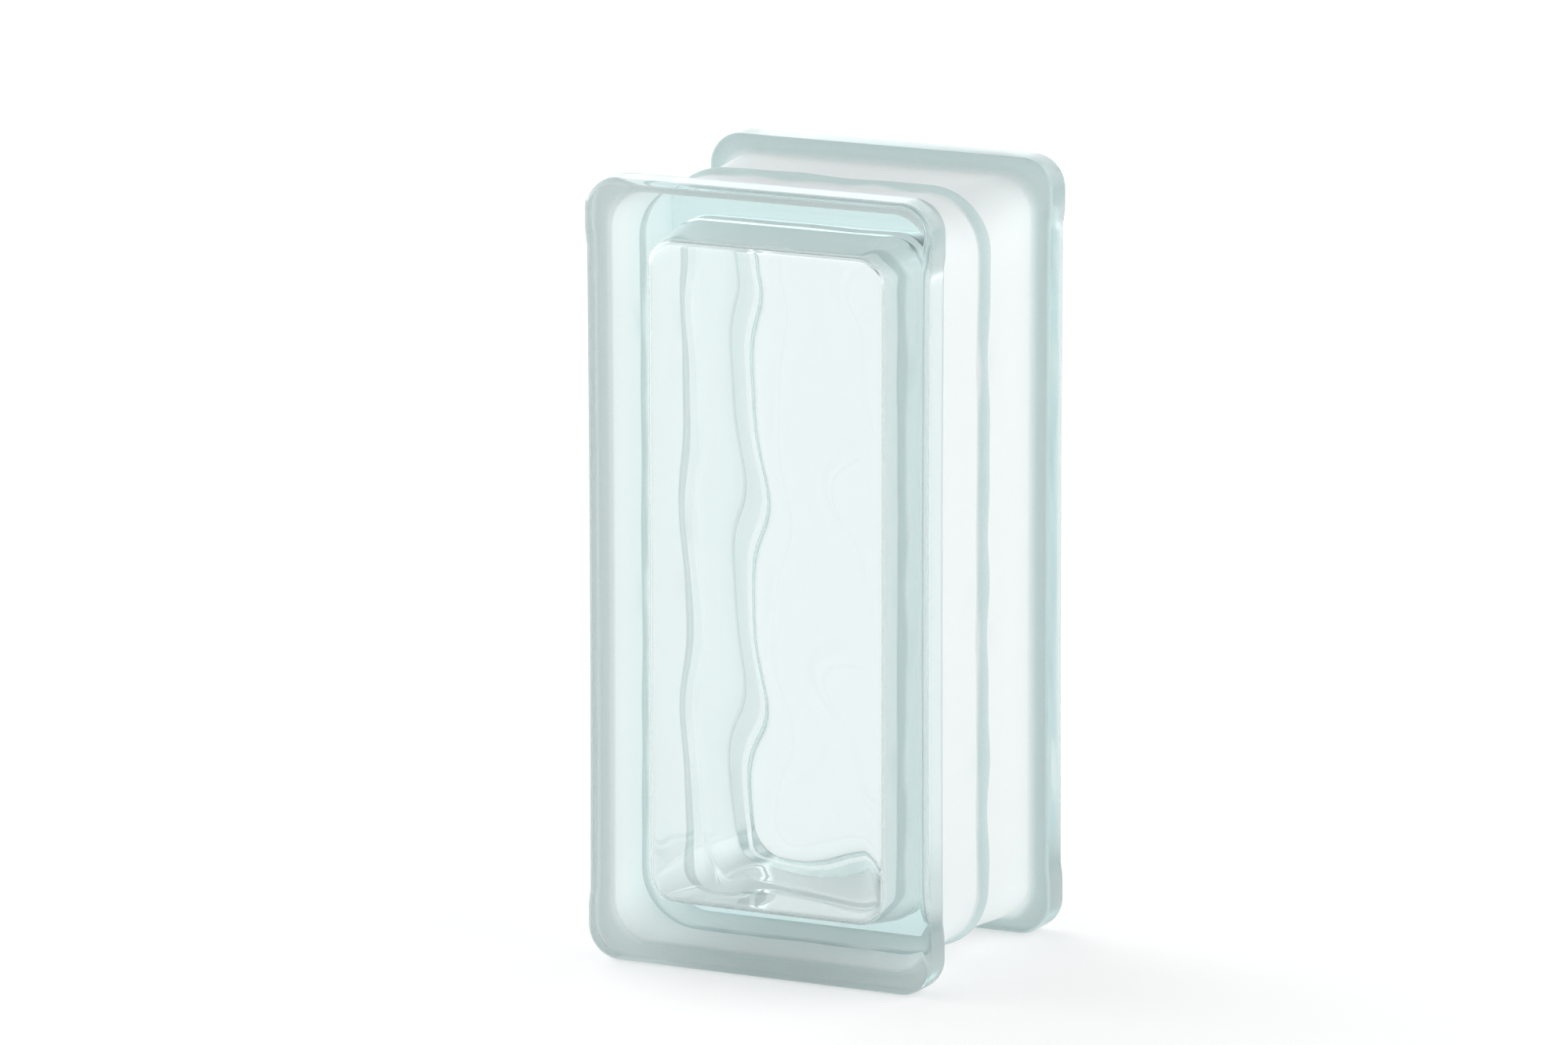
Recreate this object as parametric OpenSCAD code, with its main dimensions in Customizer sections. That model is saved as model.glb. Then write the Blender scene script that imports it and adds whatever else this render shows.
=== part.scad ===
// Half-size hollow glass block, standing on one short edge.
// Two pressed glass shells, each a pane with deep side walls, are welded rim to
// rim while hot, which leaves one body with a sealed cavity and a seam bead.
// The origin is the centre of the lower bearing plane. +Z runs up the height,
// X across the width, and Y through the thickness with the front pane at -Y.

/* [Block] */
// Width of each pane
block_w = 94.5; // [80:0.5:250]
// Height of each pane
block_h = 197; // [150:0.5:300]
// Thickness over both panes
block_d = 78; // [60:0.5:120]
// Corner radius of the panes
corner_r = 8.5; // [5:0.5:12]

/* [Flanges] */
// Depth of the bearing land behind each face
land_d = 9.5; // [7:0.5:14]
// Rounding between each face and its land
face_edge_r = 1.8; // [0.5:0.1:3]
// Rounding between each land and the mortar groove
groove_edge_r = 1; // [0.5:0.1:2.5]
// How far the long lands step in between their corner pads
pad_step = 0.5; // [0.2:0.1:1]
// Length of a corner pad along the height
pad_l = 14; // [13:0.5:30]

/* [Mortar groove] */
// Depth of the groove floor below the lands
groove_depth = 4.4; // [3:0.1:7]
// Corner radius of the groove floor
floor_corner_r = 12; // [10:0.5:18]
// Fillet between the groove floor and each flange
foot_fillet_r = 3.2; // [0.5:0.1:4]

/* [Seam] */
// Width of the weld bead at the groove floor
seam_w = 6; // [4:0.1:10]
// Height of the weld bead above the groove floor
seam_h = 1.6; // [1:0.1:2.5]

/* [Cavity] */
// Thickness of each pane behind its face
pane_t = 8; // [6:0.1:12]
// Thickness of the side walls at the seam
wall_t = 7.7; // [4.5:0.1:9]
// How far each wall of the cavity leans in from the seam to the pane
wall_draft = 2.9; // [1:0.1:5]
// Corner radius of the cavity, seen from the front
cavity_corner_r = 7; // [5:0.5:12]
// Fillet between each pane and the side walls
pane_fillet_r = 2; // [2:0.5:5]
// Height of the waves pressed into the inner face of each pane
wave_h = 1.8; // [0:0.1:3]
// Distance from one wave to the next
wave_l = 58; // [40:1:90]

/* [Hidden] */

glass = [0.80, 0.90, 0.89, 0.6];
$fn = 96;
cut = 1; // how far a cutting shape runs past what it cuts

// Half sizes of the rectangle through the corner centres of a pane
pane_x = block_w / 2 - corner_r;
pane_y = block_h / 2 - corner_r;
// Half sizes of the rectangle through the corner centres of the groove floor
floor_x = block_w / 2 - groove_depth - floor_corner_r;
floor_y = block_h / 2 - groove_depth - floor_corner_r;
// Length of the core between the two flanges
core_d = block_d - 2 * land_d;

// Half sizes of the cavity at the seam, and its half depth
cavity_x = block_w / 2 - groove_depth - wall_t;
cavity_y = block_h / 2 - groove_depth - wall_t;
cavity_z = block_d / 2 - pane_t;

corner_steps = 5;  // facets around a corner of the cavity
side_steps = 6;    // facets along a short side, and twice that along a long one
fillet_steps = 3;  // facets around the fillet of a pane
pane_rings = 8;    // rings from a pane's fillet to its middle
middle_share = 0.06; // size of the innermost ring

// Section of a flange: x outwards from the corner centres, y from the core to the face.
module flange_section() {
    land_edge = [corner_r - groove_edge_r, groove_edge_r];
    face_edge = [corner_r - face_edge_r, land_d - face_edge_r];
    translate([0, groove_edge_r])
        square([corner_r, land_d - groove_edge_r - face_edge_r]);
    square([land_edge.x, land_d]);
    translate([0, land_d - face_edge_r])
        square([face_edge.x, face_edge_r]);
    translate(land_edge) circle(groove_edge_r);
    translate(face_edge) circle(face_edge_r);
}

// Section of the core: the groove floor, a fillet up to each flange, and the bead.
module core_section() {
    bead_r = (pow(seam_w / 2, 2) + pow(seam_h, 2)) / (2 * seam_h);
    square([floor_corner_r, core_d]);
    translate([floor_corner_r + seam_h - bead_r, core_d / 2]) circle(bead_r);
    foot_fillet();
    translate([0, core_d]) mirror([0, 1]) foot_fillet();
}

module foot_fillet() {
    translate([floor_corner_r, 0]) difference() {
        square(foot_fillet_r);
        translate([foot_fillet_r, foot_fillet_r]) circle(foot_fillet_r);
    }
}

// Sweeps a section around a rectangle of corner centres and fills the middle.
module swept_slab(half_x, half_y, depth) {
    for (i = [0:3]) {
        side_x = i == 0 || i == 3 ? half_x : -half_x;
        side_y = i < 2 ? half_y : -half_y;
        translate([side_x, side_y, 0]) rotate(90 * i) rotate_extrude(angle = 90) children();
    }
    for (turn = [0, 180]) {
        rotate(turn) swept_side(half_x, half_y) children();
        rotate(turn + 90) swept_side(half_y, half_x) children();
    }
    translate([-half_x, -half_y, 0]) cube([2 * half_x, 2 * half_y, depth]);
}

module swept_side(out, half_length) {
    translate([out, half_length, 0]) rotate([90, 0, 0])
        linear_extrude(2 * half_length) children();
}

module flange() {
    swept_slab(pane_x, pane_y, land_d) flange_section();
}

module core() {
    swept_slab(floor_x, floor_y, core_d) core_section();
}

// The long lands stand back between the corner pads.
module pad_cut() {
    length = block_h - 2 * pad_l;
    translate([block_w / 2 - pad_step, -length / 2, -block_d / 2 - cut])
        cube([pad_step + cut, length, block_d + 2 * cut]);
}

// Corners of a rounded rectangle's outline, anticlockwise, at one level.
function outline(half_x, half_y, r) = [
    for (i = [0:3])
        let (
            side_x = i == 0 || i == 3 ? 1 : -1,
            side_y = i < 2 ? 1 : -1,
            centre = [side_x * (half_x - r), side_y * (half_y - r)],
            along = i % 2 == 0 ? [-2 * side_x * (half_x - r), 0] : [0, -2 * side_y * (half_y - r)],
            steps = i % 2 == 0 ? side_steps : 2 * side_steps
        )
        each concat(
            [for (k = [0:corner_steps]) let (t = 90 * (i + k / corner_steps))
                centre + r * [cos(t), sin(t)]],
            [for (k = [1:steps - 1]) let (t = 90 * (i + 1))
                centre + r * [cos(t), sin(t)] + along * k / steps]
        )
];

// Height of the pressed waves at a place on a pane, and how they fade at its edge.
function wave(x, y, pane) =
    wave_h / 2 * sin(360 * y / wave_l + 90 * pane + 60 * sin(180 * x / cavity_x))
        * cos(90 * x / cavity_x) * cos(90 * pow(y / cavity_y, 2));

// One ring of the cavity's skin, at a level, with the waves of one pane or none.
function ring(half_x, half_y, r, level, pane) = [
    for (p = outline(half_x, half_y, r))
        [p.x, p.y, level + (pane == 0 ? 0 : wave(p.x, p.y, pane))]
];

// Rings of one half of the cavity, from the middle of its pane out to the seam.
function half_rings(side) =
    let (
        edge_x = cavity_x - wall_draft - pane_fillet_r,
        edge_y = cavity_y - wall_draft - pane_fillet_r,
        edge_r = cavity_corner_r - pane_fillet_r,
        level = cavity_z - pane_fillet_r
    )
    concat(
        [for (k = [0:pane_rings])
            let (s = middle_share + (1 - middle_share) * k / pane_rings)
            ring(s * edge_x, s * edge_y, s * edge_r, side * cavity_z, side)],
        [for (k = [1:fillet_steps])
            let (t = 90 * k / fillet_steps, grow = pane_fillet_r * sin(t))
            ring(edge_x + grow, edge_y + grow, edge_r + grow,
                 side * (level + pane_fillet_r * cos(t)), 0)],
        [ring(cavity_x, cavity_y, cavity_corner_r, side * cut / 2, 0)]
    );

// The sealed space between the shells, as one closed skin of rings.
module cavity() {
    front = half_rings(1);
    back = half_rings(-1);
    rings = concat(back, [for (k = [len(front) - 1:-1:0]) front[k]]);
    n = len(rings[0]);
    last = len(rings) - 1;
    skin = [for (k = [0:last - 1], i = [0:n - 1])
        let (a = k * n + i, b = k * n + (i + 1) % n)
        each [[a, a + n, b], [b, a + n, b + n]]];
    polyhedron(
        points = [for (r = rings) each r],
        faces = concat(skin,
            [[for (i = [0:n - 1]) i]],
            [[for (i = [n - 1:-1:0]) last * n + i]])
    );
}

module glass_block() {
    color(glass) translate([0, 0, block_h / 2]) rotate([90, 0, 0]) difference() {
        union() {
            translate([0, 0, block_d / 2 - land_d]) flange();
            mirror([0, 0, 1]) translate([0, 0, block_d / 2 - land_d]) flange();
            translate([0, 0, -core_d / 2]) core();
        }
        pad_cut();
        rotate(180) pad_cut();
        cavity();
    }
}

glass_block();
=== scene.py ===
"""The looks of a hollow glass block, standing on one short edge on a pale studio floor."""

import math

import bpy
import numpy as np
from mathutils import Matrix, Vector


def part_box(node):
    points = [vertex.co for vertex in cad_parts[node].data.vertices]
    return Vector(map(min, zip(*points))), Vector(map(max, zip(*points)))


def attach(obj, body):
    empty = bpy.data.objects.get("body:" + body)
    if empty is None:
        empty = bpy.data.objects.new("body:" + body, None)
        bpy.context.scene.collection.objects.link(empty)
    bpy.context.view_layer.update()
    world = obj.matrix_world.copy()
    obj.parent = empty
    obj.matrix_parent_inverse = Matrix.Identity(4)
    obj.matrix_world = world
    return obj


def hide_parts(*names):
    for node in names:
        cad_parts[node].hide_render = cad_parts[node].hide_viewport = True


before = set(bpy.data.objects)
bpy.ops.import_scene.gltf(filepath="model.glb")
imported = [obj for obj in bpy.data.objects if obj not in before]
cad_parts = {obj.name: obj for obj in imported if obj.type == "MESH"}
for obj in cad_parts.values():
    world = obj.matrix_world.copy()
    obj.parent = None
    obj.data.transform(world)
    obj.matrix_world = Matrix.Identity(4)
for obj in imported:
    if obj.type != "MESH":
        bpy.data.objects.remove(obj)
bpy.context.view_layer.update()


# ---------------------------------------------------------------------------
# The glass block. Two shells of clear soda-lime glass, each pressed in a mould
# as a pane with deep side walls, are welded rim to rim while hot. What is left
# is one piece with a sealed cavity, an uneven weld bead and waves in the panes.
# ---------------------------------------------------------------------------

low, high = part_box("glass_block")
BLOCK_W, BLOCK_D, BLOCK_H = high - low
MM = 0.001

CORNER_R = 8.5 * MM        # corners of the panes
LAND = 9.5 * MM            # depth of each bearing land
FACE_EDGE_R = 1.8 * MM     # rounding between face and land
GROOVE_EDGE_R = 1.0 * MM   # rounding between land and groove
GROOVE = 4.4 * MM          # groove floor below the lands
FOOT_CORNER_R = 9.5 * MM   # corners of the groove floor at the foot of a flange
SEAM_CORNER_R = 14.5 * MM  # corners of the groove floor at the seam
FOOT_R = 3.2 * MM          # fillet at the foot of each flange
SEAM_HALF = 3.0 * MM       # half the width of the weld bead
SEAM_H = 1.6 * MM          # height of the weld bead
SEAM_SWELL = 0.25 * MM     # how far the bead swells and thins along its run
SEAM_WANDER = 0.8 * MM     # how far the bead wanders to the front and back
PAD_STEP = 0.45 * MM       # how far the long lands stand back between the pads
PAD_L = 14 * MM            # length of a corner pad
PAD_RAMP = 3 * MM          # length of the slope from a pad down to its land
BOW = 0.4 * MM             # how far the long sides draw in at mid height

PANE = 8 * MM              # thickness of a pane
WALL = 7.7 * MM            # side wall at the seam
DRAFT = 2.9 * MM           # how far a wall leans in from the seam to the pane
CAVITY_CORNER_R = 7 * MM   # corners of the cavity at the seam
PANE_FILLET_R = 2 * MM     # fillet between a pane and the side walls
INNER_SEAM_H = 0.7 * MM    # height of the weld's ridge inside the cavity
INNER_SEAM_HALF = 4 * MM   # half the width of that ridge
INNER_WANDER = 1.2 * MM    # how far the ridge wanders to the front and back


def around(corner=14, short=48, long=104):
    """A walk round a rounded rectangle, anticlockwise from the start of the first corner.

    Gives three rows: the place of the corner's centre in x and in z, from -1 to 1, and
    the outward angle. On a corner the centre rests while the angle turns a quarter, and
    on a side the angle rests while the centre slides evenly to the next corner.
    """
    signs = [(1, 1), (-1, 1), (-1, -1), (1, -1)]
    x, z, turn = [], [], []
    for i, (sx, sz) in enumerate(signs):
        nx, nz = signs[(i + 1) % 4]
        steps = short if i % 2 == 0 else long
        slide = np.arange(steps) / steps
        x += [np.full(corner, sx), sx + (nx - sx) * slide]
        z += [np.full(corner, sz), sz + (nz - sz) * slide]
        turn += [math.pi / 2 * (i + np.arange(corner) / corner),
                 np.full(steps, math.pi / 2 * (i + 1))]
    return np.concatenate(x), np.concatenate(z), np.concatenate(turn)


WALK_X, WALK_Z, WALK_TURN = around()


def rings(half_x, half_z, radius):
    """Rounded rectangles, one to a row: corner centre plus radius times the outward direction."""
    half_x, half_z, radius = (np.reshape(v, (-1, 1)) for v in (half_x, half_z, radius))
    x = WALK_X * (half_x - radius) + radius * np.cos(WALK_TURN)
    z = WALK_Z * (half_z - radius) + radius * np.sin(WALK_TURN)
    return x, z


def skin(x, y, z, outwards):
    """Corners and faces of a closed skin of rings, first ring to last, with both ends capped."""
    count, n = x.shape
    corners = np.stack([x, y, z], axis=-1).reshape(-1, 3)
    index = np.arange(count * n).reshape(count, n)
    across = np.roll(index, -1, axis=1)
    quads = np.stack([index[:-1], index[1:], across[1:], across[:-1]], axis=-1).reshape(-1, 4)
    caps = [index[0].tolist(), index[-1][::-1].tolist()]
    faces = quads.tolist() + caps
    if not outwards:
        faces = [face[::-1] for face in faces]
    return corners, faces


def quarter(steps):
    """Even steps over a quarter turn."""
    return np.linspace(0, math.pi / 2, steps + 1)


def outer_section():
    """Half of the outer section, from a pane's face to the seam, as inset, depth and corner radius.

    The face edge and the groove edge are quarter circles, the foot of the flange is a
    hollow quarter circle, and the bead is a bump of 1 minus the squared distance.
    """
    edge, groove_edge, foot = quarter(10), quarter(6), quarter(10)
    mid = BLOCK_D / 2
    bead = np.linspace(1, 0, 11)
    inset = [FACE_EDGE_R * (1 - np.sin(edge)),
             np.zeros(2),
             GROOVE_EDGE_R * (1 - np.cos(groove_edge)),
             GROOVE - FOOT_R + FOOT_R * np.sin(foot),
             np.full(4, GROOVE),
             GROOVE - SEAM_H * (1 - bead ** 2)]
    depth = [FACE_EDGE_R * (1 - np.cos(edge)),
             np.array([FACE_EDGE_R + 0.2 * MM, LAND - GROOVE_EDGE_R - 0.2 * MM]),
             LAND - GROOVE_EDGE_R * (1 - np.sin(groove_edge)),
             LAND + FOOT_R * (1 - np.cos(foot)),
             np.linspace(LAND + FOOT_R + 0.2 * MM, mid - SEAM_HALF - 0.3 * MM, 4),
             mid - SEAM_HALF * bead]
    inset, depth = np.concatenate(inset), np.concatenate(depth)
    down = np.clip((inset - GROOVE_EDGE_R) / (GROOVE - GROOVE_EDGE_R), 0, 1)
    rim_r = CORNER_R - GROOVE_EDGE_R
    wall_r = np.interp(depth, [LAND + FOOT_R, mid - SEAM_HALF], [FOOT_CORNER_R, SEAM_CORNER_R])
    radius = np.where(depth < LAND + FOOT_R, rim_r + down * (FOOT_CORNER_R - rim_r), wall_r)
    radius = np.where(depth < LAND - 1e-9, CORNER_R - inset, radius)
    radius = np.where(depth > mid - SEAM_HALF, SEAM_CORNER_R + GROOVE - inset, radius)
    return inset, depth, radius


def walk_waves(amount, turns, phases):
    """A closed wave round the block: a mean of sines with whole numbers of turns."""
    share = np.arange(WALK_TURN.size) / WALK_TURN.size * 2 * math.pi
    return amount * sum(np.sin(t * share + p) for t, p in zip(turns, phases)) / len(turns)


def outer_skin():
    """The outside: face rings growing from the middle, then the section, then its mirror image.

    The bead swells and wanders by sines along its run. The long sides draw in by a parabola
    that is deepest at mid height, and the lands step in between the pads by a smooth ramp.
    """
    inset, depth, radius = outer_section()
    grow = np.array([0.02, 0.25, 0.5, 0.75, 0.92, 0.985, 0.997])
    flat_x, flat_z = BLOCK_W / 2 - FACE_EDGE_R, BLOCK_H / 2 - FACE_EDGE_R
    half_x = np.concatenate([grow * flat_x, BLOCK_W / 2 - inset])
    half_z = np.concatenate([grow * flat_z, BLOCK_H / 2 - inset])
    radius = np.concatenate([grow * (CORNER_R - FACE_EDGE_R), radius])
    depth = np.concatenate([np.zeros(grow.size), depth])
    half_x, half_z, radius = (np.concatenate([v, v[-2::-1]]) for v in (half_x, half_z, radius))
    y = np.concatenate([depth - BLOCK_D / 2, BLOCK_D / 2 - depth[-2::-1]])[:, None]

    near_seam = np.clip(1.6 - np.abs(y) / SEAM_HALF, 0, 1)
    swell = walk_waves(SEAM_SWELL, (9, 14, 23), (0.4, 2.1, 4.0)) * near_seam
    x, z = rings(half_x, half_z, radius)
    x = x + np.cos(WALK_TURN) * swell
    z = z + np.sin(WALK_TURN) * swell
    y = y + walk_waves(SEAM_WANDER, (8, 15, 25), (1.0, 3.3, 0.2)) * near_seam

    from_end = BLOCK_H / 2 - np.abs(z)
    ramp = np.clip((from_end - PAD_L) / PAD_RAMP, 0, 1)
    on_flange = np.abs(y) > BLOCK_D / 2 - LAND - 1e-9
    pull = BOW * (1 - (2 * z / BLOCK_H) ** 2) + PAD_STEP * ramp ** 2 * (3 - 2 * ramp) * on_flange
    x = x * (1 - pull / (BLOCK_W / 2))
    return skin(x, y, z, outwards=True)


WAVE_L = 52 * MM           # from one pressed wave to the next, up a pane
WAVE_H = 0.3 * MM          # height of the waves at mid height
WAVE_START = 1.2 * math.pi  # where in its turn a wave is at mid height
REAR_TURN = 1.9            # how far ahead in its turn the rear pane's wave is
EDGE_FADE = 0.12           # share of a pane over which its waves die out at the edge


def pressed_waves(x, z, turned):
    """Depth of the waves in a pane: one sine wave, a ripple on it and a long swell.

    The wave climbs across the pane at a slant and is shallower towards the top. The ripple
    has half its length and a fifth of its height. The swell is a third as high, twice as
    long, and slants the other way.
    """
    up = 2 * math.pi * z / WAVE_L + WAVE_START + turned
    across = 2 * math.pi * x / WAVE_L
    wave = np.sin(up + across) * (1 - z / BLOCK_H)
    ripple = np.sin(2 * up + across) / 5
    swell = np.sin(up / 2 - across) / 3
    return WAVE_H * (wave + ripple + swell)


def cavity_skin():
    """The inside: pane rings with waves, a fillet, the leaning wall and the ridge of the weld.

    The fillet is a quarter circle and the wall leans in evenly. The ridge is 1 minus the
    squared distance, squared. Half the cavity is made, from pane to seam, then its mirror image.
    """
    seam_x, seam_z = BLOCK_W / 2 - GROOVE - WALL, BLOCK_H / 2 - GROOVE - WALL
    pane_y = BLOCK_D / 2 - PANE
    edge_x, edge_z = seam_x - DRAFT - PANE_FILLET_R, seam_z - DRAFT - PANE_FILLET_R
    edge_r = CAVITY_CORNER_R - PANE_FILLET_R
    grow = np.linspace(0.012, 1, 50)
    turn = quarter(8)[1:]
    fall = np.linspace(0.02, 1, 8)
    ridge = np.linspace(1, 0, 9)[1:]
    wall_end = (pane_y - PANE_FILLET_R - INNER_SEAM_HALF) / (pane_y - PANE_FILLET_R)
    lean = DRAFT * np.concatenate([fall * wall_end, np.full(ridge.size, wall_end)])
    hump = np.concatenate([np.zeros(fall.size), INNER_SEAM_H * (1 - ridge ** 2) ** 2])
    out = np.concatenate([PANE_FILLET_R * np.sin(turn), PANE_FILLET_R + lean - hump])
    half_x = np.concatenate([grow * edge_x, edge_x + out])
    half_z = np.concatenate([grow * edge_z, edge_z + out])
    radius = np.concatenate([grow * edge_r, edge_r + out])
    wall_y = (pane_y - PANE_FILLET_R) * (1 - fall * wall_end)
    y = np.concatenate([np.full(grow.size, pane_y),
                        pane_y - PANE_FILLET_R * (1 - np.cos(turn)),
                        wall_y, INNER_SEAM_HALF * ridge])
    half_x, half_z, radius = (np.concatenate([v, v[-2::-1]]) for v in (half_x, half_z, radius))
    y = np.concatenate([-y, y[-2::-1]])[:, None]
    x, z = rings(half_x, half_z, radius)
    near_seam = np.clip(1.5 - np.abs(y) / (2 * INNER_SEAM_HALF), 0, 1)
    wander = walk_waves(INNER_WANDER, (6, 11, 17), (2.0, 0.3, 4.4)) * near_seam
    share = np.concatenate([grow, np.ones(out.size)])
    share = np.concatenate([share, share[-2::-1]])[:, None]
    fade = np.clip((1 - share) / EDGE_FADE, 0, 1)
    fade = fade ** 2 * (3 - 2 * fade)
    side = np.sign(y)
    turned = REAR_TURN * (side > 0)
    y = y + wander + pressed_waves(x, z, turned) * fade * side
    return skin(x, y, z, outwards=False)


FILM_GAP = 0.05 * MM       # bare glass between the flat land and the film
FILM_LEAD = 0.6 * MM       # how far past the land the film starts to thicken and its painted shade to lift
BEAD_CLEAR = 2.2 * MM      # half the width of the bead's crest, where the film is thin
BEAD_RIM = 1.0 * MM        # strip on each side of the crest over which it thickens
BEAD_FILM = 0.15           # share of its thickness that is left on the crest


def finish_shares(points):
    """Three shares on the outside: mould-dulled edge, white film, and where the film is thick and
    no shade is painted.

    The faces are fire-polished, and the lands and edges behind them are a little dull.
    The film starts at the rounding between land and groove. It thickens over the
    foot of the flange, lies thick on the groove's floor, and thins out on the bead.
    Where the third share is low, the film takes a darker teal. This is painted shade on
    the step and foot of each flange, and the bead's crest takes the same darker tone.
    """
    reach = BLOCK_D / 2 - np.abs(points[:, 1])
    dull = np.clip(reach / FACE_EDGE_R, 0, 1)
    film = (reach > LAND - GROOVE_EDGE_R + FILM_GAP).astype(float)
    thick_unshaded = np.clip((reach - LAND - FILM_LEAD) / FOOT_R, 0, 1)
    bead = np.clip((np.abs(points[:, 1]) - BEAD_CLEAR) / BEAD_RIM, BEAD_FILM, 1)
    return dull * (1 - film), film, thick_unshaded * bead


outer, outer_faces = outer_skin()
inner, inner_faces = cavity_skin()
corners = np.concatenate([outer, inner]) + np.array([0, 0, BLOCK_H / 2])
faces = outer_faces + [[k + len(outer) for k in face] for face in inner_faces]
mesh = bpy.data.meshes.new("glass_block")
mesh.from_pydata(corners, [], faces)
mesh.polygons.foreach_set("use_smooth", np.ones(len(faces), bool))
for name, share in zip(("dull", "film", "thick_unshaded_film"), finish_shares(outer)):
    column = np.concatenate([share, np.zeros(len(inner))]).astype(np.float32)
    mesh.attributes.new(name, "FLOAT", "POINT").data.foreach_set("value", column)
block = bpy.data.objects.new("glass_block_looks", mesh)
bpy.context.scene.collection.objects.link(block)


class Shade:
    """A socket of a node tree. Python's operators on it add Math nodes."""

    def __init__(self, tree, socket=None):
        self.tree = tree
        self.socket = socket

    def node(self, kind, settings=None, output=0, **inputs):
        """Adds a node, makes its settings, fills or links its inputs, and gives one output.

        An input is given by its name, with _ for a space, or by its number after a _.
        An output is given by its name or its number.
        """
        made = self.tree.nodes.new(kind)
        for name, value in (settings or {}).items():
            setattr(made, name, value)
        for name, value in inputs.items():
            key = int(name[1:]) if name[0] == "_" else name.replace("_", " ")
            if isinstance(value, Shade):
                self.tree.links.new(value.socket, made.inputs[key])
            else:
                made.inputs[key].default_value = value
        return Shade(self.tree, made.outputs[output]) if made.outputs else None

    def math(self, operation, first, second):
        """Adds a Math node of two inputs, each a socket or a number."""
        return self.node("ShaderNodeMath", {"operation": operation}, _0=first, _1=second)

    def __add__(self, other):
        return self.math("ADD", self, other)

    def __radd__(self, other):
        return self.math("ADD", other, self)

    def __sub__(self, other):
        return self.math("SUBTRACT", self, other)

    def __rsub__(self, other):
        return self.math("SUBTRACT", other, self)

    def __mul__(self, other):
        return self.math("MULTIPLY", self, other)

    def __rmul__(self, other):
        return self.math("MULTIPLY", other, self)

    def __pow__(self, other):
        return self.math("POWER", self, other)

    def __rpow__(self, other):
        return self.math("POWER", other, self)


THIN_FILM_SHADE = (0.44, 0.58, 0.575, 1)  # painted shade at the step and foot of each flange, where the film is thinner; the bead's crest takes it too
THICK_FILM = (0.97, 0.97, 0.97, 1)  # on the groove's floor

glass = bpy.data.materials.new("clear glass with a frosted groove")
glass.use_nodes = True
glass.node_tree.nodes.clear()
start = Shade(glass.node_tree)
dull = start.node("ShaderNodeAttribute", {"attribute_name": "dull"}, output="Fac")
film = start.node("ShaderNodeAttribute", {"attribute_name": "film"}, output="Fac")
thick_unshaded = start.node("ShaderNodeAttribute", {"attribute_name": "thick_unshaded_film"}, output="Fac")
place = start.node("ShaderNodeTexCoord", output="Object")
grain = start.node("ShaderNodeTexNoise", Vector=place, Scale=1400.0, Detail=2.0)
clear = start.node("ShaderNodeBsdfPrincipled", Base_Color=(0.915, 0.935, 0.935, 1),
                   Roughness=0.5 * film + 0.28 * dull, IOR=1.52, Transmission_Weight=1.0)
# The film's colour runs from a darker teal, painted shade at the step and foot of each flange, to
# white on the groove's floor, with a fine random grain.
tone = start.node("ShaderNodeMix", {"data_type": "RGBA"}, output=2,
                  _0=thick_unshaded + (grain - 0.5) * 0.25, _6=THIN_FILM_SHADE, _7=THICK_FILM)
white = start.node("ShaderNodeBsdfPrincipled", Base_Color=tone, Roughness=0.8,
                   Specular_IOR_Level=0.1)
through = start.node("ShaderNodeBsdfTranslucent", Color=(0.96, 0.96, 0.96, 1))
coating = start.node("ShaderNodeMixShader", _0=0.3 + thick_unshaded * 0.15, _1=white, _2=through)
surface = start.node("ShaderNodeMixShader", _0=film * 0.9, _1=clear, _2=coating)
tint = start.node("ShaderNodeVolumeAbsorption", Color=(0.48, 0.74, 0.74, 1), Density=10.0)
start.node("ShaderNodeOutputMaterial", Surface=surface, Volume=tint)
mesh.materials.append(glass)

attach(block, "root")
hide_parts("glass_block")


# ---------------------------------------------------------------------------
# The studio: a wide pale floor that glows a little, like a light table, broad
# soft lights at both sides with a weak one in front, and the camera.
# ---------------------------------------------------------------------------

bpy.ops.mesh.primitive_plane_add(size=14, location=(0, 0, -0.3 * MM))
floor = bpy.context.object
floor.name = "studio_floor"
paint = bpy.data.materials.new("pale floor")
paint.use_nodes = True
matt = paint.node_tree.nodes["Principled BSDF"].inputs
matt["Base Color"].default_value = (0.6, 0.6, 0.6, 1)
matt["Roughness"].default_value = 0.9
matt["Emission Color"].default_value = (1, 1, 1, 1)
matt["Emission Strength"].default_value = 0.42
floor.data.materials.append(paint)

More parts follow.
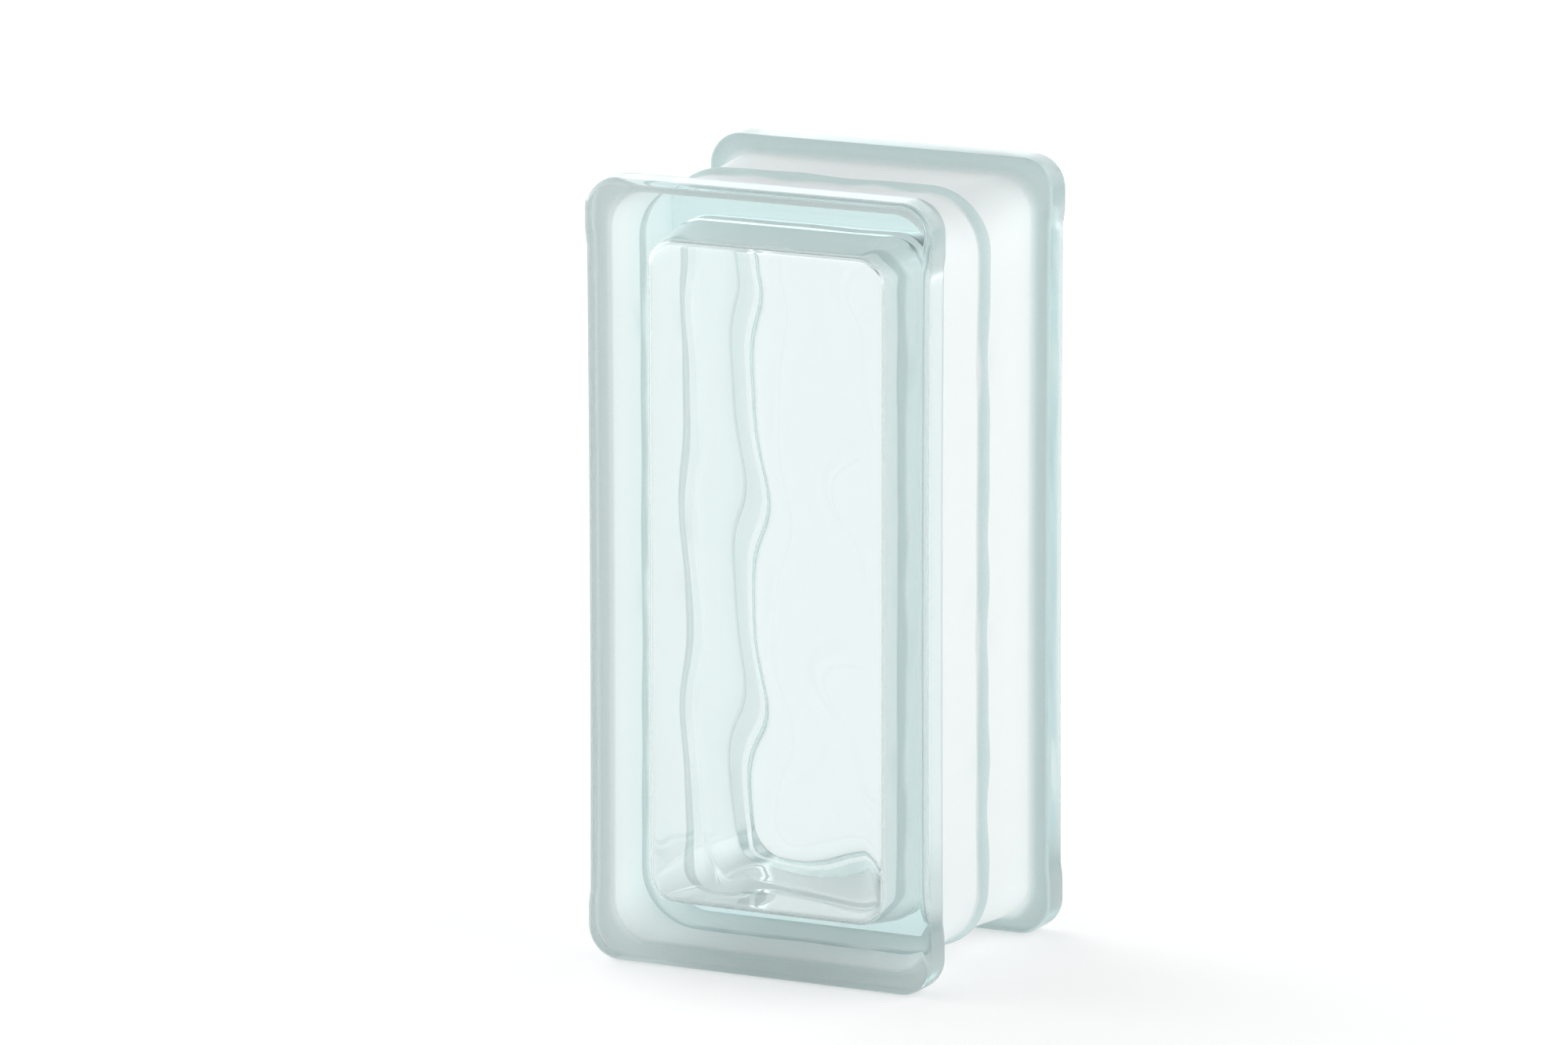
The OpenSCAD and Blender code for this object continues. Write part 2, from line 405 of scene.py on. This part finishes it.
# Each soft light: the way it shines from, and its strength. Its glow falls off as the
# fourth power of the cosine of the angle from that way.
SOFT_LIGHTS = [((-0.9, 0.4, 0.15), 4.5),
               ((-0.8, -0.6, 0.1), 2.5),
               ((0.9, 0.4, 0.15), 3.5),
               ((0.93, -0.3, 0.15), 1.0),
               ((0.2, -1, 0.1), 0.5)]

world = bpy.data.worlds.new("studio")
world.use_nodes = True
bpy.context.scene.world = world
backdrop = world.node_tree.nodes["Background"].inputs
backdrop["Color"].default_value = (0.985, 1, 1, 1)
sky = Shade(world.node_tree)
facing = sky.node("ShaderNodeTexCoord", output="Generated")
light = 0.0
for way, strength in SOFT_LIGHTS:
    toward = sky.node("ShaderNodeVectorMath", {"operation": "DOT_PRODUCT"}, output="Value",
                      _0=facing, _1=Vector(way).normalized())
    light = light + strength * sky.math("MAXIMUM", toward, 0.0) ** 4.0
world.node_tree.links.new(light.socket, backdrop["Strength"])

scene = bpy.context.scene
scene.view_settings.view_transform = "Standard"
scene.cycles.max_bounces = 32
scene.cycles.transmission_bounces = 32
scene.cycles.glossy_bounces = 16

AZIMUTH, ELEVATION, ROLL = math.radians(26.6), math.radians(12.2), math.radians(-0.1)
DISTANCE = 2.66
AIM_ACROSS, AIM_UP = -10.5 * MM, 8.5 * MM  # aimed beside and above the block's middle

right = Vector((math.cos(AZIMUTH), math.sin(AZIMUTH), 0))
back = Vector((math.sin(AZIMUTH) * math.cos(ELEVATION),
               -math.cos(AZIMUTH) * math.cos(ELEVATION), math.sin(ELEVATION)))
up = back.cross(right)
camera_data = bpy.data.cameras.new("camera")
camera_data.lens = 247
camera_data.sensor_width = 36
camera_data.clip_end = 50
camera = bpy.data.objects.new("camera", camera_data)
scene.collection.objects.link(camera)
aim = Vector((0, 0, BLOCK_H / 2)) + right * AIM_ACROSS + up * AIM_UP
camera.location = aim + back * DISTANCE
turned_right = right * math.cos(ROLL) + up * math.sin(ROLL)
turned_up = up * math.cos(ROLL) - right * math.sin(ROLL)
camera.rotation_euler = Matrix((turned_right, turned_up, back)).transposed().to_euler()
scene.camera = camera
